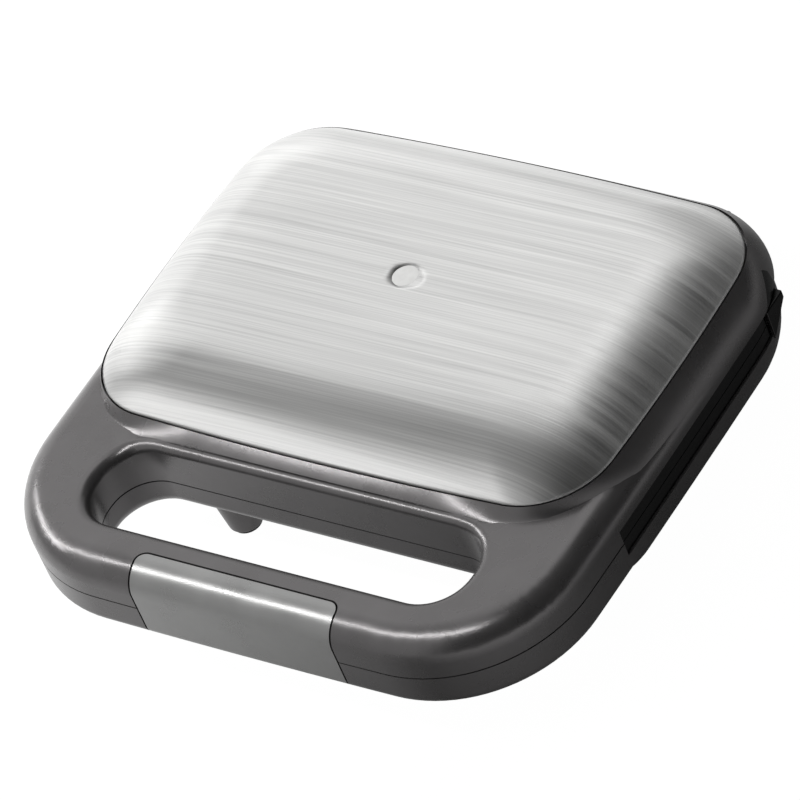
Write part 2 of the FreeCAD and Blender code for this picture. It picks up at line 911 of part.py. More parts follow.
def thermal_fuse():
    """Cut-out fuse with its two leads, held to the plate's back by a saddle."""
    z = -block_back - heater_gap - fuse_radius
    x0 = fuse_x - fuse_length / 2
    body = rod(fuse_radius, x0, x0 + fuse_length, plate_middle, z)
    body = body.fuse(rod(terminal_radius / 2, x0 - fuse_length, x0 + 2 * fuse_length, plate_middle, z))
    saddle = box(fuse_x - fuse_radius, fuse_x + fuse_radius, plate_middle - 2 * fuse_radius,
                 plate_middle + 2 * fuse_radius, z, z + fuse_radius)
    return one_solid(body.fuse(saddle))


# Base pieces

def tub_form(inset=0.0):
    """Form of the base behind the handle, a deep tray with a well rounded lower edge, or its hollow."""
    low = -tub_depth + inset
    front = tub_front + inset
    body = prism(shell_outline(low, inset), base_top - inset - low)
    body = body.common(box(-width, width, front, 2 * shell_depth, -2 * tub_depth, tub_depth))
    uprights = []
    for edge in body.Edges:
        bounds = edge.BoundBox
        on_front = abs(bounds.YMin - front) < 1e-3 and abs(bounds.YMax - front) < 1e-3
        if on_front and bounds.ZLength > tub_depth / 2:
            uprights.append(edge)
    body = body.makeFillet(tub_front_corner - inset, uprights)
    return body.makeFillet(tub_edge_radius - inset, edges_on_plane(body, low))


def lower_handle():
    """Lower half of the handle, which runs back into the base."""
    body = prism(shell_outline(-handle_underside), handle_underside + base_top)
    body = body.makeFillet(handle_edge_radius, edges_on_plane(body, -handle_underside))
    body = body.common(box(-width, width, -width, tub_front + handle_overlap, -tub_depth, tub_depth))
    body = body.cut(prism(slot_outline(-handle_underside), handle_underside))
    rim = []
    for edge in edges_on_plane(body, -handle_underside):
        bounds = edge.BoundBox
        if bounds.YMax < slot_rear + 1 and bounds.YMin > bar_depth - 1:
            rim.append(edge)
    return body.makeFillet(slot_under_radius, rim)


def rear_rim():
    """Raised rim that wraps round the back of the base, outside the lid's raised floor."""
    height = rear_rim_height - base_top + wall
    low = base_top - wall
    ring = prism(shell_outline(low, rear_rim_inset), height)
    ring = ring.cut(prism(shell_outline(low, rear_rim_inset + rear_rim_width), height))
    ring = ring.common(box(-width, width, notch_rear, 2 * shell_depth, low, rear_rim_height))
    for x in hinge_centres():
        half = lug_width / 2 + 2 * hinge_side_gap
        ring = ring.cut(box(x - half, x + half, shell_depth / 2, 2 * shell_depth, base_top, rear_rim_height))
    return ring


def side_rail():
    """Straight rail behind a side opening, whose end runs free of the base's rounded corner."""
    outer = half_width - rail_inset
    end = shell_depth - rail_end_margin
    rail = profile_along_x(
        [
            (notch_rear, -rail_drop),
            (notch_rear + running_clearance, -rail_drop),
            (end, rail_end_height),
            (end, rear_rim_height),
            (notch_rear, rear_rim_height),
        ],
        outer - rail_width,
        outer,
    )
    rounded = []
    for edge in rail.Edges:
        bounds = edge.BoundBox
        if bounds.XMin > outer - rail_edge_radius and bounds.YMax > notch_rear + 2 * running_clearance:
            rounded.append(edge)
    return rail.makeFillet(rail_edge_radius, rounded)


def lower_housing():
    hollow = tub_form(wall)
    for x, y in screw_places():
        hollow = hollow.cut(post(boss_radius, x, y, -2 * tub_depth, -plate_back))
    seat_x = terminals_x - terminals_width / 2
    seat_y = terminals_y()
    seat_rear = seat_y + terminals_length
    seat = box(seat_x, seat_x + terminals_width, seat_y, seat_rear, -tub_depth, terminals_floor())
    hollow = hollow.cut(seat)
    body = tub_form().fuse(lower_handle())
    body = body.cut(hollow)
    boss = Part.makeCylinder(
        gland_flange_radius + gland_boss_wall, gland_boss_length + gland_boss_proud,
        Vector(0, shell_depth - gland_boss_length, gland_height), y_axis
    )
    body = body.fuse(boss)
    hole = Part.makeCylinder(
        gland_body_radius + gland_clearance, 4 * gland_boss_length,
        Vector(0, shell_depth - 2 * gland_boss_length, gland_height), y_axis
    )
    body = body.cut(hole)
    body = body.cut(plate_opening(-plate_back, wall))
    for gap in ear_openings(-notch_height, wall):
        body = body.cut(gap)
    body = body.cut(latch_space())
    catch_face = latch_top_depth + latch_gap
    half = latch_width / 2 - latch_wall - 2 * latch_gap
    catch_low = -handle_underside + latch_wall + catch_gap
    catch_tip = catch_face - catch_reach
    catch = box(-half, half, catch_tip, catch_face + wall, catch_low, catch_low + catch_height)
    body = body.fuse(catch)
    for x, y in screw_places():
        body = body.cut(post(screw_radius + screw_fit, x, y, -screw_length - 1, 0))
    body = body.fuse(rear_rim())
    for rail in mirrored_pair(side_rail()):
        body = body.fuse(rail)
    for x in hinge_centres():
        for ear in base_ears(x):
            body = body.fuse(ear)
    body = body.cut(rod(hinge_pin_radius + hinge_seat_fit, -width, width, hinge_y, hinge_z))
    return one_solid(body)


def terminals_y():
    """Front face of the terminal block, which stands clear of the rounded lower edge at the back."""
    rounding = tub_edge_radius - wall
    run = rounding - math.sqrt(rounding ** 2 - (rounding - terminals_seat) ** 2)
    return shell_depth - wall - run - terminals_gap - terminals_length


def terminals_floor():
    return tub_floor + terminals_seat


def terminal_block():
    x0 = terminals_x - terminals_width / 2
    y0 = terminals_y()
    z0 = terminals_floor()
    block = box(x0, x0 + terminals_width, y0, y0 + terminals_length, z0, z0 + terminals_height)
    step = terminals_width / terminals_ways
    for way in range(terminals_ways):
        x = x0 + step * (way + 0.5)
        start = Vector(x, y0, z0 + terminals_height / 2)
        block = block.cut(Part.makeCylinder(terminals_hole, terminals_length, start, y_axis))
    return one_solid(block)


def cord_gland():
    """Bush in the back wall that a mains lead would pass through."""
    face = shell_depth + gland_boss_proud
    body = Part.makeCylinder(gland_flange_radius, gland_flange, Vector(0, face, gland_height), y_axis)
    inner = face - gland_boss_length - gland_boss_proud
    start = Vector(0, inner, gland_height)
    body = body.fuse(Part.makeCylinder(gland_body_radius, face - inner, start, y_axis))
    return one_solid(body.cut(Part.makeCylinder(gland_bore_radius, 4 * gland_boss_length, start, y_axis)))


def foot(x, y):
    """Tapered foot, shaped to the underside of the base."""
    low = -joint_plane_height + pad_height - pad_recess
    high = -tub_depth + tub_edge_radius / 2
    spread = (high - low) * math.tan(math.radians(foot_taper))
    cone = Part.makeCone(foot_tip_radius, foot_tip_radius + spread, high - low, Vector(x, y, low), z_axis)
    cone = cone.makeFillet(foot_edge_radius, edges_on_plane(cone, low))
    cone = cone.cut(tub_form())
    return one_solid(cone.cut(post(pad_radius + pad_clearance, x, y, low, low + pad_recess)))


def foot_pad(x, y):
    low = -joint_plane_height
    return post(pad_radius, x, y, low, low + pad_height)


def hinge_pin(x):
    half = hinge_width() / 2
    return rod(hinge_pin_radius, x - half, x + half, hinge_y, hinge_z)


# Latch pieces

def latch():
    """Hollow clip that wraps over the handle's front and hooks under the base."""
    form = prism(shell_outline(-handle_underside), handle_underside + slab_height)
    form = form.makeFillet(shoulder_radius, edges_on_plane(form, slab_height))
    form = form.makeFillet(handle_edge_radius, edges_on_plane(form, -handle_underside))
    body = form.common(latch_prism(0, -handle_underside, slab_height))
    low = -handle_underside + latch_wall
    high = slab_height - latch_wall
    hollow = prism(shell_outline(low, latch_wall), high - low)
    hollow = hollow.makeFillet(shoulder_radius - latch_wall, edges_on_plane(hollow, high))
    hollow = hollow.makeFillet(handle_edge_radius - latch_wall, edges_on_plane(hollow, low))
    half = latch_width / 2 - latch_wall
    body = body.cut(hollow.common(box(-half, half, 0, bar_depth, low, high)))
    for x in latch_lug_places():
        body = body.cut(latch_lug(x, latch_lug_gap))
    body = body.cut(rod(latch_pin_radius + latch_running_fit, -half - latch_wall / 2, half + latch_wall / 2,
                        latch_pivot_y, latch_pivot_z))
    return one_solid(body)


def latch_pin():
    half = latch_width / 2 - latch_wall / 2 - latch_lug_gap
    return rod(latch_pin_radius, -half, half, latch_pivot_y, latch_pivot_z)


def all_pieces():
    pieces = {
        "upper_housing": upper_housing(),
        "lid_cover": lid_cover(),
        "pilot_lens": pilot_lens(),
        "pilot_lamp": pilot_lamp(),
        "lower_housing": lower_housing(),
        "terminal_block": terminal_block(),
        "cord_gland": cord_gland(),
        "latch": latch(),
        "latch_pin": latch_pin(),
        "thermostat": thermostat(),
        "thermal_fuse": thermal_fuse(),
    }
    shared = {
        "plate": lower_plate(),
        "heater": lower_heater(),
        "reflector": lower_reflector(),
        "plate_screws": lower_plate_screws(),
        "reflector_screws": lower_reflector_screws(),
    }
    for name, shape in shared.items():
        pieces["lower_" + name] = shape
        pieces["upper_" + name] = upside_down(shape)
    for side, x in (("left", -1), ("right", 1)):
        pieces[side + "_hinge_pin"] = hinge_pin(x * hinge_x)
        for end, y in (("front", foot_front), ("rear", foot_rear)):
            pieces["%s_%s_foot" % (end, side)] = foot(x * foot_x, y)
            pieces["%s_%s_foot_pad" % (end, side)] = foot_pad(x * foot_x, y)
    return pieces


os.makedirs("parts", exist_ok=True)
for name, shape in all_pieces().items():
    shape.translated(origin_shift).exportStep("parts/%s.step" % name)
    print("%-24s %d solid(s) %10.1f mm3" % (name, len(shape.Solids), shape.Volume))
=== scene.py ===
# %% [markdown]
# # A sandwich maker, dressed around its CAD frame
#
# The CAD model already has every piece of the cooker in its right place. This lesson loads it as a
# fixed frame and then adds what a CAD model lacks: a smooth pressed steel cover, soft moulded edges,
# brushed metal, satin plastic, and a small photo studio to look at them in.

# %% Load the frame
import json
import math

import bmesh
import bpy
import numpy as np
from mathutils import Matrix, Vector


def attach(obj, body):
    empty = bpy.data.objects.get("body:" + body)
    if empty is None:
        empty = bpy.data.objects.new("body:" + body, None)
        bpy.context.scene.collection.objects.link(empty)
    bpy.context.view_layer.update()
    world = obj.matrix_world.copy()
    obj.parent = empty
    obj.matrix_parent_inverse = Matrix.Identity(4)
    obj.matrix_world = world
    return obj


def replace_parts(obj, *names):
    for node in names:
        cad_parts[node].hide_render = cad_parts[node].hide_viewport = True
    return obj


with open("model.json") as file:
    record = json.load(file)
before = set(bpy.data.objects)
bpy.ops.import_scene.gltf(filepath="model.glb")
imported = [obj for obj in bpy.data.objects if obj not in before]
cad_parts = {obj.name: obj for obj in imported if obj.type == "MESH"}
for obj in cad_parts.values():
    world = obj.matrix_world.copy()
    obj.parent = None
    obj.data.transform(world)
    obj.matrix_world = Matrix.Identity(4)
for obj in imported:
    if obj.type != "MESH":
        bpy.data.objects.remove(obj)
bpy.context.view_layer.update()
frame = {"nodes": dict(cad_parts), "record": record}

mm = 0.001
nodes = frame["nodes"]
bodies = frame["record"]["behaviour"]["bodies"]
body_of = {name: body for body, members in bodies.items() for name in members}
slot_of = {part["node"]: part["material_slot"] for part in frame["record"]["subparts"]}

# %% [markdown]
# ## The shared frame
#
# The moulds were drawn with y running back from the handle's front edge and z up from the joint plane
# between lid and base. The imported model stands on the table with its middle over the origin, so one
# shift takes a drawing size, in millimetres, to its place in the scene.

# %% From drawing sizes to places in the scene
handle_front = -117.75
joint_plane = 38.0


def place(x, y, z):
    """Scene coordinates, in metres, of a point given in the drawing's millimetres."""
    return np.stack(np.broadcast_arrays(x, y + handle_front, z + joint_plane), axis=-1) * mm


print("the joint plane lies", joint_plane, "mm above the table")

# %% [markdown]
# ## Softer mouldings
#
# Three small shapes are softer on the real mouldings than in the CAD model: the step between the steel
# cover and the slot is a gentle ramp, the handle's underside rises towards the slot, and the hinge's
# outer ends are drawn in. They could be sculpted by hand. Here formulas move the mesh's points by a few
# millimetres, because a formula treats left and right alike and works again on a new CAD mesh.

# %% Outlines of the cover's seam and of the slot
seam_half, seam_front, seam_rear = 110.6, 64.4, 216.3
seam_corner, seam_bow = 31.3, 3.4
seam_height, handle_top, handle_rear = 21.7, 17.2, 62
slot_half, slot_front, slot_rear, slot_corner = 81.8, 21.8, 56.5, 16.5
hub_inwards, hub_back = 0.5, 1.7


def outside_seam(x, y):
    """Distance in front of the cover's seam: a shallow arc in the middle, a round corner at each end.

    The bow of the sides moves a corner's hub a little inwards and back."""
    end_radius = (seam_half**2 + seam_bow**2) / (2 * seam_bow)
    straight = seam_front + x**2 / (2 * end_radius) - y
    hub_x = seam_half - seam_corner - hub_inwards
    hub_y = seam_front + seam_corner + hub_back
    corner = np.hypot(np.abs(x) - hub_x, y - hub_y) - seam_corner
    return np.where(np.abs(x) < hub_x, straight, corner)


print("seam to slot:", round(float(outside_seam(0.0, slot_rear)), 1), "mm")

# %% Curves that several shapes share
middle_full, middle_gone = 50, 90


def eased(value, low, high):
    """Smooth change from 0 at low to 1 at high: t^2 (3 - 2 t)."""
    t = np.clip((value - low) / (high - low), 0, 1)
    return t**2 * (3 - 2 * t)


def in_middle(x):
    """1 in the middle of the front, and 0 towards its two ends."""
    return 1 - eased(np.abs(x), middle_full, middle_gone)


def fall(t, slope):
    """Fall that starts with a slope and reaches 1 at t = 1: slope t - (slope - 1) t^2."""
    return slope * t - (slope - 1) * t**2


def between(value, low, high):
    """True where a value lies between two limits."""
    return (value > low) & (value < high)


print("the middle of the front fades out from", middle_full, "to", middle_gone, "mm")

# %% A gentle ramp in front of the cover
# the CAD model's hollow and rim, and where the points of its step lie
hollow_fall, rim_radius = 5.2, 4.5
step_near, step_far, step_rear = 0.42, 3.1, 80
touch = 0.01
# the ramp, the slot's new rim, and the points that sink below the skirt
ramp_fall, ramp_slope, ramp_run, ramp_sink = 2.1, 1.25, 1.56, 0.5
tight_radius, rim_front, rim_full = 2.8, 46, 56
skin, kept_height = 0.1, 0.7


def gentle_ramp(x, y, z):
    """The CAD model's hollow step in front of the cover, laid out as a ramp.

    With u from 0 to 1 down the step, a point moves ramp_run u forwards, and ends ramp_fall fall(u) +
    ramp_sink below the seam. The slot's rear rim turns through a tight quarter circle that ends at the
    ramp's foot. Points that stand above the handle keep a part of their height, below the lid's skirt."""
    steepest = (seam_height - handle_top) / hollow_fall
    sine = np.clip((seam_height - z) / hollow_fall, 0, steepest)
    u = (1 - np.sqrt(1 - sine**2)) / (1 - math.sqrt(1 - steepest**2))
    on_step = between(z, handle_top - touch, seam_height) & (y < step_rear)
    on_step &= between(outside_seam(x, y), step_near, step_far)
    ramp_z = seam_height - ramp_fall * fall(u, ramp_slope) - ramp_sink

    cosine = np.clip((z - handle_top + rim_radius) / rim_radius, 0, 1)
    on_rim = between(z, handle_top - rim_radius - touch, handle_top + touch)
    on_rim &= between(y, rim_front, handle_rear)
    rim_y = slot_rear + tight_radius * (1 - np.sqrt(1 - cosine**2))
    rim_z = seam_height - ramp_fall - tight_radius * (1 - cosine)

    shelf = handle_top + skin
    low = np.where(z > shelf, shelf + kept_height * (z - shelf), z)
    y_new = np.where(on_step, y - ramp_run * u, np.where(on_rim, rim_y, y))
    z_new = np.where(on_step, ramp_z, np.where(on_rim, rim_z, low))
    share = in_middle(x) * eased(y, rim_front, rim_full)
    return x, y + share * (y_new - y), low + share * (z_new - low)


print("the ramp falls", ramp_fall, "mm")

# %% A raised underside and drawn-in hinge ends
underside, lift_most, lift_reach = -9, 4.6, 9
hinge_inner, hinge_front, hinge_shift = 70, 226.5, 3.6


def raised_underside(x, y, z):
    """Points under the handle rise by lift_most (1 - d / lift_reach)^2 at a distance d from the slot.

    The slot is a rectangle with round corners, so d is the distance from a smaller rectangle, less the
    corner's radius."""
    middle, run = (slot_front + slot_rear) / 2, (slot_rear - slot_front) / 2
    across = np.abs(x) - (slot_half - slot_corner)
    deep = np.abs(y - middle) - (run - slot_corner)
    corner = np.hypot(np.maximum(across, 0), np.maximum(deep, 0))
    distance = np.maximum(corner + np.minimum(np.maximum(across, deep), 0) - slot_corner, 0)
    lift = lift_most * (1 - np.minimum(distance / lift_reach, 1)) ** 2
    return x, y, np.where((z < underside) & (y < handle_rear), z + lift, z)


def drawn_in_hinge(x, y, z):
    """Outer ends of the hinge barrels, moved inwards by hinge_shift."""
    ends = (np.abs(x) > hinge_inner) & (y > hinge_front)
    return np.where(ends, x - np.sign(x) * hinge_shift, x), y, z


print("the underside rises by", lift_most, "mm, the hinge ends move in by", hinge_shift, "mm")

# %% Which piece is softened by which formulas
softer = {
    "upper_housing": [gentle_ramp],
    "lower_housing": [raised_underside, drawn_in_hinge],
    "left_hinge_pin": [drawn_in_hinge],
    "right_hinge_pin": [drawn_in_hinge],
}


def soften(mesh, name):
    """Move a mesh's points by its piece's formulas, all at once, in the drawing's millimetres."""
    points = np.empty(len(mesh.vertices) * 3)
    mesh.vertices.foreach_get("co", points)
    x, y, z = points.reshape(-1, 3).T / mm - np.array([[0], [handle_front], [joint_plane]])
    for shape in softer.get(name, []):
        x, y, z = shape(x, y, z)
    mesh.vertices.foreach_set("co", place(x, y, z).ravel())


print(len(softer), "pieces to soften")

# %% [markdown]
# ## Smooth copies of the CAD pieces
#
# A CAD mesh is a heap of separate triangles, which shade like a cut gem. Merging its corners and shading
# it smooth would smear the flats into the rounded edges. So a copy also has its sharp folds marked by
# angle, and its normals weighted by face area: flats stay flat and rounded edges look rounded. The copy
# stands for its node and rides on the same body.

# %% A helper for smooth copies
fold_angle = math.radians(28)
merge_distance = 2e-6
area_weight = 80


def smooth_copy(name):
    """Merged and smoothly shaded copy of a CAD node, which it replaces."""
    mesh = nodes[name].data.copy()
    soften(mesh, name)
    shape = bmesh.new()
    shape.from_mesh(mesh)
    bmesh.ops.remove_doubles(shape, verts=shape.verts, dist=merge_distance)
    for face in shape.faces:
        face.smooth = True
    for edge in shape.edges:
        edge.smooth = len(edge.link_faces) == 2 and edge.calc_face_angle(0.0) < fold_angle
    shape.to_mesh(mesh)
    shape.free()
    mesh.materials.clear()
    piece = bpy.data.objects.new(name + "_finish", mesh)
    bpy.context.scene.collection.objects.link(piece)
    weigh = piece.modifiers.new("flat stays flat", "WEIGHTED_NORMAL")
    weigh.keep_sharp = True
    weigh.weight = area_weight
    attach(piece, body_of[name])
    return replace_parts(piece, name)


print("folds above", round(math.degrees(fold_angle)), "degrees stay sharp")

# %% [markdown]
# ## Surfaces from formulas
#
# New pieces are grids of points: one direction runs round the piece, the other runs from its rim to
# its middle. numpy works out all points at once, and one helper turns the grid into a mesh.

# %% Grid to mesh
def surface(name, grid, body, uv_scale=None):
    """Closed-ring grid of points (levels, round, 3) as a mesh of four-sided faces.

    With a uv_scale it also gets a UV map: its plan view, scaled and centred."""
    levels, count = grid.shape[:2]
    step = np.arange(count)
    ahead = (step + 1) % count
    lower = np.arange(levels - 1)[:, None] * count
    upper = lower + count
    corners = np.stack([lower + step, lower + ahead, upper + ahead, upper + step], axis=-1).reshape(-1, 4)
    points = grid.reshape(-1, 3)
    mesh = bpy.data.meshes.new(name)
    mesh.from_pydata(points, [], corners)
    mesh.polygons.foreach_set("use_smooth", np.ones(len(corners), bool))
    if uv_scale:
        plan = points[corners.ravel()][:, :2] * uv_scale + 0.5
        mesh.uv_layers.new(name="plan").data.foreach_set("uv", plan.astype(np.float32).ravel())
    mesh.update()
    piece = bpy.data.objects.new(name, mesh)
    bpy.context.scene.collection.objects.link(piece)
    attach(piece, body)
    return piece


# %% Bowed outlines
def bowed_outline(half, front, rear, radius, bow, samples=(30, 26, 44)):
    """Points round a rectangle of arcs, for a whole column of levels at once.

    The sides are shallow arcs of radius (run^2 + bow^2) / (2 bow). A corner arc touches the side arc
    and the end arc from inside, so its hub is where two circles meet: one round each arc's centre,
    with that arc's radius less the corner's. One quarter is worked out and mirrored to the others. Its
    samples are the points on half a side, on a corner and on half an end."""
    half, front, rear, radius, bow = [
        np.asarray(v, float).reshape(-1, 1) for v in np.broadcast_arrays(half, front, rear, radius, bow)
    ]
    middle, run = (front + rear) / 2, (rear - front) / 2
    side_r = (run**2 + bow**2) / (2 * bow)
    end_r = (half**2 + bow**2) / (2 * bow)
    side_x, end_y = half - side_r, run - end_r
    span = np.hypot(side_x, end_y)
    a, b = side_r - radius, end_r - radius
    reach = (a**2 - b**2 + span**2) / (2 * span)
    lift = np.sqrt(a**2 - reach**2)
    ux, uy = -side_x / span, end_y / span
    hub_x = side_x + ux * reach - uy * lift
    hub_y = uy * reach + ux * lift
    start = np.arctan2(hub_y, hub_x - side_x)
    stop = np.arctan2(hub_y - end_y, hub_x)
    share = [np.linspace(0, 1, n, endpoint=False) for n in samples]
    side_t = start * share[0]
    corner_t = start + (stop - start) * share[1]
    end_t = stop + (np.pi / 2 - stop) * share[2]
    quarter_x = np.hstack([
        side_x + side_r * np.cos(side_t),
        hub_x + radius * np.cos(corner_t),
        end_r * np.cos(end_t),
        np.zeros_like(half),
    ])
    quarter_y = np.hstack([
        side_r * np.sin(side_t),
        hub_y + radius * np.sin(corner_t),
        end_y + end_r * np.sin(end_t),
        run,
    ])
    rear_x = np.hstack([quarter_x, -quarter_x[:, -2::-1]])
    rear_y = np.hstack([quarter_y, quarter_y[:, -2::-1]])
    x = np.hstack([rear_x, rear_x[:, -2:0:-1]])
    y = np.hstack([rear_y, -rear_y[:, -2:0:-1]])
    return x, y + middle


seam_points = bowed_outline(seam_half, seam_front, seam_rear, seam_corner, seam_bow)[0].size
print("an outline has", seam_points, "points")

# %% [markdown]
# ## The steel cover
#
# On the real cooker the cover is one pressed sheet: a rectangle with slightly bowed sides and round
# corners, which rises from the seam along an arc and closes with a slight crown. Bevelling a box would
# give one radius everywhere. Here every level of the dome is the same kind of outline, moved inwards and
# upwards along a profile, so that the highlights run evenly round the corners. Solidify then gives the
# sheet its thickness.

# %% Profile of the cover
cover_gap = 0.2
cover_half = seam_half - cover_gap
cover_front, cover_rear = seam_front + cover_gap, seam_rear - cover_gap
ledge_height = 19.3
dome_radius, dome_start, dome_stop = 40.0, math.radians(35), math.radians(87)
crown_rise, crown_inset = 0.9, 52.0
dome_levels, crown_levels = 30, 14


def cover_levels():
    """Inset and height of each level: a short edge, an arc of the dome radius, then a flat parabola."""
    turn = np.linspace(dome_start, dome_stop, dome_levels)
    arc_in = dome_radius * (math.cos(dome_start) - np.cos(turn))
    arc_up = dome_radius * (np.sin(turn) - math.sin(dome_start))
    share = np.linspace(0, 1, crown_levels)[1:]
    top = dome_radius * (1 - math.sin(dome_start)) + crown_rise
    crown_in = arc_in[-1] + (crown_inset - arc_in[-1]) * share
    crown_up = arc_up[-1] + (top - arc_up[-1]) * (1 - (1 - share) ** 2)
    inset = np.hstack([0, arc_in, crown_in])
    height = np.hstack([ledge_height - seam_height, arc_up, crown_up])
    return inset, height + seam_height


print("cover of", len(cover_levels()[0]), "levels")

# %% Points of the cover
lens_hole, lens_rings = 5.02, 12
lens_y = (cover_front + cover_rear) / 2


def cover_grid():
    """Levels of bowed outlines, then rings that turn the last outline into the lens hole."""
    inset, height = cover_levels()
    fade = 1 - inset / cover_half
    x, y = bowed_outline(
        cover_half - inset, cover_front + inset, cover_rear - inset, seam_corner * fade, seam_bow * fade
    )
    z = np.broadcast_to(height[:, None], x.shape)
    angle = np.arctan2((y[-1] - lens_y) * cover_half / (lens_y - cover_front), x[-1])
    ring_x, ring_y = lens_hole * np.cos(angle), lens_y + lens_hole * np.sin(angle)
    share = np.linspace(0, 1, lens_rings)[1:, None]
    x = np.vstack([x, x[-1] + (ring_x - x[-1]) * share])
    y = np.vstack([y, y[-1] + (ring_y - y[-1]) * share])
    z = np.vstack([z, np.full((len(share), z.shape[1]), height[-1])])
    return place(x, y, z)


dome = cover_grid()
print("cover of", dome.shape[0], "rings with", dome.shape[1], "points each")

# %% The cover itself, with a flat edge and a sheet's thickness
sheet_thickness = 0.8
plan_scale = 4.0

cover = surface("steel_cover", dome, "lid", uv_scale=plan_scale)
above_edge = np.arange(len(cover.data.polygons)) >= dome.shape[1]
cover.data.polygons.foreach_set("use_smooth", above_edge)
wall = cover.modifiers.new("sheet", "SOLIDIFY")
wall.thickness = sheet_thickness * mm
wall.offset = -1.0
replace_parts(cover, "lid_cover")
print("cover rises to", round(cover.bound_box[6][2] / mm, 2), "mm")

# %% [markdown]
# ## A smooth skirt round the cover
#
# On the lid, the surface between the cover's seam and the housing's side is one sweep. At the sides and
# the back it curves outwards and down, at the front it runs out as a ramp to the slot's rim. The CAD
# mesh has long thin triangles here, which shade in blotches. A grid of its own, laid just above them,
# gives clean highlights.

# %% Skirt
skirt_levels, skirt_gap = 28, 0.3
side_out, rear_out, front_out, side_fall = 6.5, 8.3, 4.7, 15.2
outward_power, corner_growth, outer_bow = 1.6, 14.7, 1.3
end_fall, end_slope = 5, 1.6
front_until, side_from = 66, 94


def skirt_grid():
    """Bowed outlines, with t from 0 at the seam to 1 at the skirt's edge.

    A side lies side_out (1 - (1 - t)^outward_power) out and side_fall t down. The front falls
    ramp_fall fall(t) in its middle and end_fall fall(t) at its ends."""
    t = np.linspace(0, 1, skirt_levels)
    out = 1 - (1 - t) ** outward_power
    x, y = bowed_outline(
        seam_half + skirt_gap + side_out * out,
        seam_front - skirt_gap - front_out * t,
        seam_rear + skirt_gap + rear_out * out,
        seam_corner + corner_growth * out,
        seam_bow + (outer_bow - seam_bow) * out,
    )
    t = t[:, None]
    middle = in_middle(x)
    front_fall = middle * ramp_fall * fall(t, ramp_slope) + (1 - middle) * end_fall * fall(t, end_slope)
    side = eased(y, front_until, side_from)
    return place(x, y, seam_height - (1 - side) * front_fall - side * side_fall * t)


skirt = surface("lid_skirt", skirt_grid(), "lid")
print("skirt of", len(skirt.data.polygons), "faces")

# %% [markdown]
# ## Finishes
#
# Each finish is a small node tree. Image textures would need pictures of the real thing, so noise does
# the work. It reads Object coordinates, so that a pattern stays put when the lid opens. A number that is
# the same all over goes straight on the shader's own socket.

# %% A material and its nodes
def finish(name, colour, roughness, metallic=0.0, **sockets):
    """New material with its principled shader; numbers that are the same all over go on the sockets."""
    material = bpy.data.materials.new(name)
    material.use_nodes = True
    shader = material.node_tree.nodes["Principled BSDF"]
    shader.inputs["Base Color"].default_value = (*colour, 1)
    shader.inputs["Roughness"].default_value = roughness
    shader.inputs["Metallic"].default_value = metallic
    for socket, value in sockets.items():
        shader.inputs[socket.replace("_", " ")].default_value = value
    return material, material.node_tree, shader


def node(tree, kind, links=None, **values):
    """One shader node with its settings; links maps its inputs to numbers or other nodes' outputs."""
    made = tree.nodes.new(kind)
    for key, value in values.items():
        setattr(made, key, value)
    for key, value in (links or {}).items():
        if isinstance(value, bpy.types.NodeSocket):
            tree.links.new(value, made.inputs[key])
        else:
            made.inputs[key].default_value = value
    return made


def maths(tree, operation, *values):
    """Result of one Math node on numbers or other nodes' outputs."""
    return node(tree, "ShaderNodeMath", dict(enumerate(values)), operation=operation).outputs[0]


def object_axes(tree):
    """Object coordinates, split into X, Y and Z."""
    whole = node(tree, "ShaderNodeTexCoord").outputs["Object"]
    return node(tree, "ShaderNodeSeparateXYZ", {"Vector": whole}).outputs


# %% Noise, tints and bumps
def grain(tree, scale, size, detail=3.0, rough=0.55):
    """Noise on Object coordinates, stretched by a scale on each axis."""
    whole = node(tree, "ShaderNodeTexCoord").outputs["Object"]
    stretch = node(tree, "ShaderNodeMapping", {"Vector": whole, "Scale": scale}).outputs["Vector"]
    settings = {"Vector": stretch, "Scale": size, "Detail": detail, "Roughness": rough}
    return node(tree, "ShaderNodeTexNoise", settings).outputs["Fac"]


def spread(tree, value, low, high, start=0.3, stop=0.7):
    """A value carried from one range, by default the usual one of noise, to another."""
    settings = {"Value": value, "From Min": start, "From Max": stop, "To Min": low, "To Max": high}
    return node(tree, "ShaderNodeMapRange", settings).outputs["Result"]


def tint(tree, factor, dark, light):
    """Colour between two tints."""
    settings = {"Factor": factor, "A": (*dark, 1), "B": (*light, 1)}
    return node(tree, "ShaderNodeMix", settings, data_type="RGBA").outputs["Result"]


def bump(tree, shader, height, strength, distance):
    """Fine relief from a height."""
    made = node(tree, "ShaderNodeBump", {"Height": height, "Strength": strength, "Distance": distance})
    tree.links.new(made.outputs["Normal"], shader.inputs["Normal"])


def cloudy(tree, shader, size, detail, dark, light):
    """Base colour that drifts between two tints; gives the cloud back."""
    cloud = grain(tree, (1, 1, 1), size, detail)
    tree.links.new(tint(tree, spread(tree, cloud, 0, 1), dark, light), shader.inputs["Base Color"])
    return cloud


# %% [markdown]
# ## Brushed steel
#
# Brushing leaves fine scratches along the cover's width, so a lamp's reflection is drawn out across
# them. Two stretched noises, one fine and one broad, tint and roughen the metal in lines, and the shader's
# anisotropy follows the UV map of the plan view. Modelled scratches would take millions of faces.

# %% Brushed steel
fine_lines, broad_lines = (9.0, 1500.0, 0.0), (4.0, 240.0, 0.0)
steel_dark, steel_light = (0.53, 0.53, 0.525), (0.77, 0.77, 0.76)
steel_middle = (0.60, 0.60, 0.595)
smoothest, roughest = 0.34, 0.46
scratch_strength, scratch_depth = 0.10, 0.0004


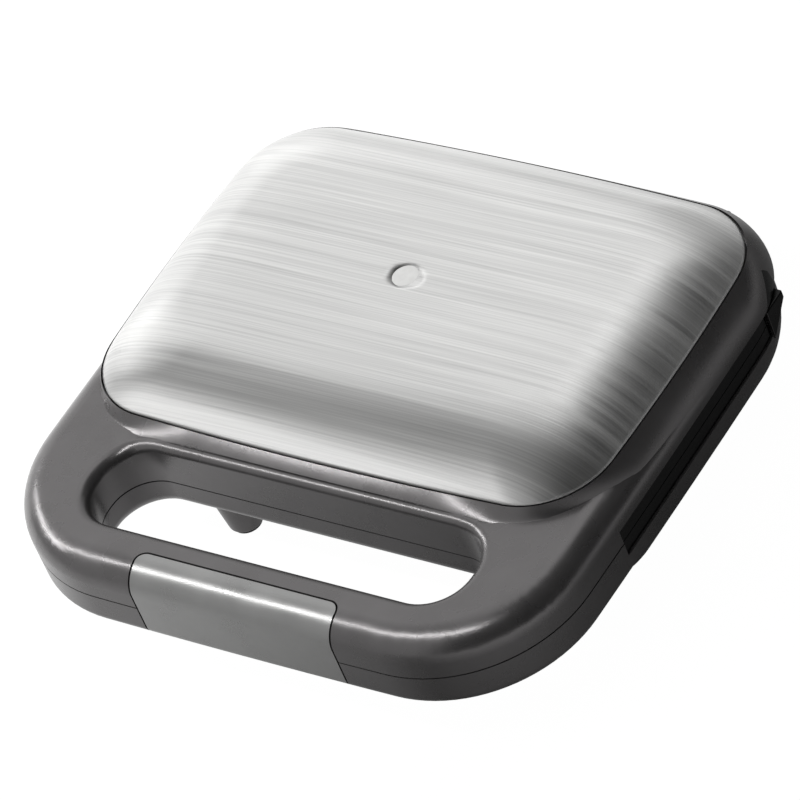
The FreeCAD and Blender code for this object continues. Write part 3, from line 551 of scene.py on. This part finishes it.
def brushed_steel():
    """Anisotropic metal in lines: tint and bump from both noises, roughness from the broad one."""
    material, tree, shader = finish(
        "brushed steel", steel_middle, roughness=0.40, metallic=1.0, Anisotropic=0.6
    )
    fine = grain(tree, fine_lines, size=1.0, detail=2.0, rough=0.6)
    broad = grain(tree, broad_lines, size=1.0, detail=3.0, rough=0.6)
    both = maths(tree, "ADD", fine, broad)
    lines = tint(tree, spread(tree, both, 0, 1, start=0.7, stop=1.3), steel_dark, steel_light)
    tree.links.new(lines, shader.inputs["Base Color"])
    tree.links.new(spread(tree, broad, smoothest, roughest), shader.inputs["Roughness"])
    bump(tree, shader, both, scratch_strength, scratch_depth)
    along = node(tree, "ShaderNodeTangent", direction_type="UV_MAP", uv_map="plan")
    tree.links.new(along.outputs["Tangent"], shader.inputs["Tangent"])
    return material


cover.data.materials.append(brushed_steel())
print("the cover is", cover.data.materials[0].name)

# %% [markdown]
# ## Satin plastics
#
# The housings and the latch have a satin grey with a metallic sheen: soft highlights, and no mirror
# image. A cloud of noise varies tint and roughness by a few hundredths, and a fine grit breaks up the
# highlight. The black coat of the plates, the rubber pads and the small inner mouldings are made alike.

# %% Satin plastics
cloud_size, cloud_detail = 60.0, 4.0
satin_spread = 0.03
grit_strength, grit_depth = 0.12, 0.0001


def satin_plastic(name, dark, light, roughness, grit=2600.0, **sockets):
    """Plastic with a cloudy tint and roughness and a fine grit."""
    material, tree, shader = finish(name, light, roughness, **sockets)
    cloud = cloudy(tree, shader, cloud_size, cloud_detail, dark, light)
    rough = spread(tree, cloud, roughness - satin_spread, roughness + satin_spread)
    tree.links.new(rough, shader.inputs["Roughness"])
    bump(tree, shader, grain(tree, (1, 1, 1), grit, 1.0), grit_strength, grit_depth)
    return material


def grey(level):
    """Neutral colour."""
    return level, level, level


sheen = 0.7
housing_grey = satin_plastic(
    "housing plastic", (0.134, 0.129, 0.130), (0.150, 0.145, 0.146), 0.28, metallic=sheen
)
latch_grey = satin_plastic("latch plastic", (0.28, 0.28, 0.277), (0.31, 0.31, 0.307), 0.29, metallic=sheen)
non_stick = satin_plastic("non-stick coat", grey(0.006), grey(0.011), 0.5, 900.0, Specular_IOR_Level=0.25)
soft_rubber = satin_plastic("rubber", grey(0.018), grey(0.028), 0.75)
gland_black = satin_plastic("gland plastic", grey(0.022), grey(0.032), 0.5)
block_cream = satin_plastic("terminal block", (0.70, 0.68, 0.62), (0.78, 0.76, 0.70), 0.5)
skirt.data.materials.append(housing_grey)
print("plastics:", [made.name for made in bpy.data.materials if "plastic" in made.name])

# %% [markdown]
# ## Black rails
#
# Behind each side opening the housing ends in a short rail. It is one moulding with the housing, so it is
# not a piece to colour. A box on Object coordinates picks it out of the grey instead and turns it black,
# mirrored from right to left.

# %% Black rails
rail_middle, rail_reach = (0.1140, 0.0750, -0.0225), (0.0030, 0.0065, 0.0070)
rail_slope = 0.87
rail_black = (0.012, 0.012, 0.012, 1)


def blacken_rails(material):
    """Black inside a box whose sides are |X|, Y and Z - rail_slope Y: a rail's underside rises backwards."""
    tree = material.node_tree
    colour = tree.nodes["Principled BSDF"].inputs["Base Color"]
    axes = object_axes(tree)
    across = maths(tree, "ABSOLUTE", axes["X"])
    height = maths(tree, "MULTIPLY_ADD", axes["Y"], -rail_slope, axes["Z"])
    in_x, in_y, in_z = [
        maths(tree, "COMPARE", *side) for side in zip((across, axes["Y"], height), rail_middle, rail_reach)
    ]
    mask = maths(tree, "MULTIPLY", maths(tree, "MULTIPLY", in_x, in_y), in_z)
    settings = {"Factor": mask, "A": colour.links[0].from_socket, "B": rail_black}
    tree.links.new(node(tree, "ShaderNodeMix", settings, data_type="RGBA").outputs["Result"], colour)


blacken_rails(housing_grey)
print("black rails from", rail_middle[0] - rail_reach[0], "m outwards")

# %% [markdown]
# ## Plain metals and the pilot light
#
# Heaters, reflectors and most screws lie inside and hardly ever show. A cloudy metal is enough for them,
# where scratches or solder would be lost. The pilot lens is frosted and pale, with a red bulb behind it.

# %% Plain metals and the pilot light
metal_cloud, lens_cloud = 220.0, 400.0
metal_spread, lens_roughness = 0.06, 0.3


def plain_metal(name, dark, light, roughness):
    """Metal with a cloudy tint and roughness."""
    material, tree, shader = finish(name, light, roughness, 1.0)
    cloud = cloudy(tree, shader, metal_cloud, cloud_detail, dark, light)
    rough = spread(tree, cloud, roughness - metal_spread, roughness + metal_spread)
    tree.links.new(rough, shader.inputs["Roughness"])
    return material


def lens_plastic(name, dark, light):
    """Smooth plastic with a cloudy tint."""
    material, tree, shader = finish(name, light, lens_roughness)
    cloudy(tree, shader, lens_cloud, 3.0, dark, light)
    return material


sheath_steel = plain_metal("heater sheath", (0.20, 0.19, 0.17), (0.34, 0.32, 0.29), 0.45)
bright_aluminium = plain_metal("reflector sheet", (0.70, 0.70, 0.69), (0.80, 0.80, 0.79), 0.28)
screw_steel = plain_metal("screw steel", (0.50, 0.50, 0.50), (0.62, 0.62, 0.61), 0.30)
frosted_lens = lens_plastic("frosted lens", (0.58, 0.58, 0.57), (0.64, 0.64, 0.63))
lamp_bulb = lens_plastic("lamp bulb", (0.60, 0.20, 0.12), (0.70, 0.26, 0.16))
print(len(bpy.data.materials), "finishes so far")

# %% [markdown]
# ## Every CAD piece gets its finish
#
# The record names a slot for every node. One table takes a slot to its finish, and one loop makes all
# the smooth copies. The CAD cover is left out, because the new steel cover stands for it.

# %% Every CAD piece gets its finish
finish_of_slot = {
    "housing": housing_grey,
    "latch": latch_grey,
    "non_stick": non_stick,
    "heater_sheath": sheath_steel,
    "reflector": bright_aluminium,
    "hardware": screw_steel,
    "terminal_block": block_cream,
    "gland": gland_black,
    "foot_pad": soft_rubber,
    "lens": frosted_lens,
    "lamp": lamp_bulb,
}
moulded = [name for name in sorted(nodes) if slot_of[name] != "steel_cover"]
for name in moulded:
    smooth_copy(name).data.materials.append(finish_of_slot[slot_of[name]])
print(len(moulded), "smooth copies")

# %% [markdown]
# ## The floor
#
# The cooker stands on a plain white floor. To the camera it glows in pure white, so that it has no edge,
# and it still takes the cooker's shadow. Steel and satin paint mirror it, and an evenly white floor would
# wash them out. So what mirror rays see of it is a painted reflection: it glows bright to the left and
# behind, and dim in front and to the right. Its colour is painted dim grey in the same places, a painted
# shade that throws less light back up. From below it is clear, so that the cooker's feet can be looked at.

# %% Brightness over the floor
def floor_brightness(tree):
    """left x rear + front x right + far right.

    Each goes straight from one brightness to another, between two places along X or Y in metres."""
    axes = object_axes(tree)
    left = spread(tree, axes["X"], 1.3, 0.03, -0.20, 0.08)
    rear = spread(tree, axes["Y"], 0.15, 1.0, -0.30, 0.12)
    front = spread(tree, axes["Y"], 1.0, 0.0, -0.16, 0.0)
    right = spread(tree, axes["X"], 0.0, 0.26, 0.08, 0.18)
    far_right = spread(tree, axes["X"], 0.0, 0.30, 0.20, 0.40)
    return maths(tree, "MULTIPLY_ADD", front, right, maths(tree, "MULTIPLY_ADD", left, rear, far_right))


# %% Floor
floor_half = 6.0
floor_white, floor_painted_shade = grey(0.86), grey(0.12)
camera_glow, mirror_glow, glow_share = 1.10, 0.35, 0.9


def floor_paint():
    """Matt white with painted shade where dim; glows for camera rays, and for mirror rays where bright."""
    material, tree, shader = finish("pale floor", floor_white, roughness=0.9)
    bright = floor_brightness(tree)
    # painted shade: the floor's own colour goes from white to dim grey where the brightness map is low
    tree.links.new(tint(tree, bright, floor_painted_shade, floor_white), shader.inputs["Base Color"])
    ray = node(tree, "ShaderNodeLightPath").outputs
    mirrored = maths(tree, "MULTIPLY", ray["Is Glossy Ray"], bright)
    strength = maths(tree, "MULTIPLY_ADD", ray["Is Glossy Ray"], mirror_glow, camera_glow)
    glow = node(tree, "ShaderNodeEmission", {"Color": (1, 1, 1, 1), "Strength": strength})
    seen = maths(tree, "MAXIMUM", ray["Is Camera Ray"], mirrored)
    seen = maths(tree, "MAXIMUM", seen, ray["Is Transmission Ray"])
    part = maths(tree, "MULTIPLY", seen, glow_share)
    mix = node(tree, "ShaderNodeMixShader", {0: part, 1: shader.outputs[0], 2: glow.outputs[0]})
    below = node(tree, "ShaderNodeNewGeometry").outputs["Backfacing"]
    clear = node(tree, "ShaderNodeBsdfTransparent")
    sheet = node(tree, "ShaderNodeMixShader", {0: below, 1: mix.outputs[0], 2: clear.outputs[0]})
    tree.links.new(sheet.outputs[0], tree.nodes["Material Output"].inputs["Surface"])
    return material


floor_corners = np.array([(-1, -1, 0), (1, -1, 0), (1, 1, 0), (-1, 1, 0)]) * floor_half
floor_mesh = bpy.data.meshes.new("floor")
floor_mesh.from_pydata(floor_corners, [], [(0, 1, 2, 3)])
floor_mesh.materials.append(floor_paint())
floor = bpy.data.objects.new("floor", floor_mesh)
bpy.context.scene.collection.objects.link(floor)
print("floor of", 2 * floor_half, "m")

# %% [markdown]
# ## The world
#
# A studio's walls and panels show in polished things as soft bright and dark fields. A world picture
# would give them, but two brightness curves do it without a file: one across the studio, one from front
# to back, multiplied. The right side is kept dark, so that the cooker's right flank is.

# %% World
world_power = 1.85
across_stops = [
    (-1.0, 1.0), (-0.85, 0.95), (-0.55, 0.62), (-0.25, 0.9),
    (0.0, 1.0), (0.14, 0.24), (0.3, 0.03), (0.8, 0.02),
]
deep_stops = [
    (-1.0, 0.35), (-0.75, 0.4), (-0.5, 0.3), (-0.15, 0.12),
    (0.15, 0.4), (0.5, 0.86), (0.75, 0.55), (1.0, 0.3),
]


def tone(tree, value, stops):
    """Brightness that follows a value from -1 to 1 through a row of (value, brightness) stops."""
    shifted = spread(tree, value, 0.0, 1.0, -1.0, 1.0)
    ramp = node(tree, "ShaderNodeValToRGB", {"Fac": shifted})
    curve = ramp.color_ramp
    curve.interpolation = "B_SPLINE"
    while len(curve.elements) < len(stops):
        curve.elements.new(0.5)
    for stop, (at, level) in zip(curve.elements, stops):
        stop.position = (at + 1) / 2
        stop.color = (*grey(level), 1)
    return ramp.outputs["Color"]


world = bpy.data.worlds.new("studio")
world.use_nodes = True
world_tree = world.node_tree
background = world_tree.nodes["Background"]
background.inputs["Color"].default_value = (1, 1, 1, 1)
facing = node(world_tree, "ShaderNodeTexCoord").outputs["Generated"]
facing_axes = node(world_tree, "ShaderNodeSeparateXYZ", {"Vector": facing}).outputs
wall_light = maths(
    world_tree,
    "MULTIPLY",
    tone(world_tree, facing_axes["X"], across_stops),
    tone(world_tree, facing_axes["Y"], deep_stops),
)
world_tree.links.new(maths(world_tree, "MULTIPLY", wall_light, world_power), background.inputs["Strength"])
bpy.context.scene.world = world
print("world of", len(across_stops), "by", len(deep_stops), "tones")

# %% [markdown]
# ## Lamps
#
# Long thin strips draw the bright lines along the handle's edges, and broad panels lay soft fields on the
# steel. A fill from the left lifts the shadows and is left out of reflections. All are area lamps aimed at
# the cooker. The overhead strip then moves to the left, so that its line fades out to the right.

# %% Lamps
aim_height = 0.05
strip_left = -0.85


def soft_box(name, direction, distance, size, power):
    """Rectangular area lamp that looks at the cooker from a direction."""
    lamp = bpy.data.lights.new(name, "AREA")
    lamp.shape = "RECTANGLE"
    lamp.size, lamp.size_y = size
    lamp.energy = power
    holder = bpy.data.objects.new(name, lamp)
    towards = Vector(direction).normalized()
    holder.location = Vector((0, 0, aim_height)) + towards * distance
    holder.rotation_euler = towards.to_track_quat("Z", "Y").to_euler()
    bpy.context.scene.collection.objects.link(holder)
    return holder


strips = [
    soft_box("overhead strip", (0.0, -0.42, 0.91), 1.35, (2.6, 0.10), 17.0),
    soft_box("left strip", (-0.88, -0.14, 0.45), 1.3, (0.8, 0.09), 4.5),
]
strips[0].location.x = strip_left
fill = soft_box("left fill", (-0.9, -0.1, 0.6), 0.7, (0.5, 0.4), 1.7)
fill.visible_glossy = False
panels = [
    soft_box("front panel", (-0.68, -0.65, 0.34), 0.9, (0.7, 0.35), 1.2),
    soft_box("left panel", (-0.89, 0.12, 0.36), 0.9, (0.5, 0.3), 0.9),
    soft_box("top right panel", (0.02, 0.49, 0.87), 0.9, (0.2, 0.7), 0.5),
    soft_box("rear left panel", (-0.66, 0.72, 0.25), 0.9, (0.5, 0.25), 0.5),
]
print(len(bpy.data.lights), "lamps")

# %% [markdown]
# ## Which lamp lights what
#
# A strip that is right for the plastic's edges would burn out on steel, and a panel for the steel would
# flatten the plastic. A photographer shades such lamps off with flags. Blender's light linking does the
# same: the strips light all but the steel, the panels light the steel only.

# %% Light linking
def light_group(name, state):
    """Collection that names the cover as the one thing a lamp lights, or leaves out."""
    group = bpy.data.collections.new(name)
    group.objects.link(cover)
    group.collection_objects[0].light_linking.link_state = state
    return group


all_but_steel = light_group("all but the steel", "EXCLUDE")
steel_only = light_group("steel only", "INCLUDE")
for lamps, group in ((strips, all_but_steel), (panels, steel_only)):
    for lamp in lamps:
        lamp.light_linking.receiver_collection = group
    print([lamp.name for lamp in lamps], "light", group.name)

# %% [markdown]
# ## The camera
#
# The camera was fitted to edges of the cooker: it looks down from the front right, through a long
# lens, and is rolled a little, so that the handle runs down to the right. Its three axes are written
# straight into its matrix, because a camera that tracks a point stays upright.

# %% Camera at the photograph's angle
view_azimuth, view_elevation, view_roll = map(math.radians, (48.28, 42.37, -23.62))
view_distance = 2375.77
view_target = Vector((-1.34, -2.21, 38.0)) * mm
focal_pixels, frame_pixels, sensor_width = 6640.0, 800.0, 36.0

back = Vector((
    math.sin(view_azimuth) * math.cos(view_elevation),
    -math.cos(view_azimuth) * math.cos(view_elevation),
    math.sin(view_elevation),
))
level = Vector((math.cos(view_azimuth), math.sin(view_azimuth), 0))
upright = back.cross(level)
right = level * math.cos(view_roll) + upright * math.sin(view_roll)
up = upright * math.cos(view_roll) - level * math.sin(view_roll)
spot = view_target + back * view_distance * mm
lens = bpy.data.cameras.new("camera")
lens.sensor_width = sensor_width
lens.lens = focal_pixels / frame_pixels * sensor_width
camera = bpy.data.objects.new("camera", lens)
camera.matrix_world = Matrix((
    (right.x, up.x, back.x, spot.x),
    (right.y, up.y, back.y, spot.y),
    (right.z, up.z, back.z, spot.z),
    (0, 0, 0, 1),
))
bpy.context.scene.collection.objects.link(camera)
bpy.context.scene.camera = camera
bpy.context.scene.view_settings.view_transform = "Standard"
print("a lens of", round(lens.lens), "mm,", round(spot.length, 2), "m away")
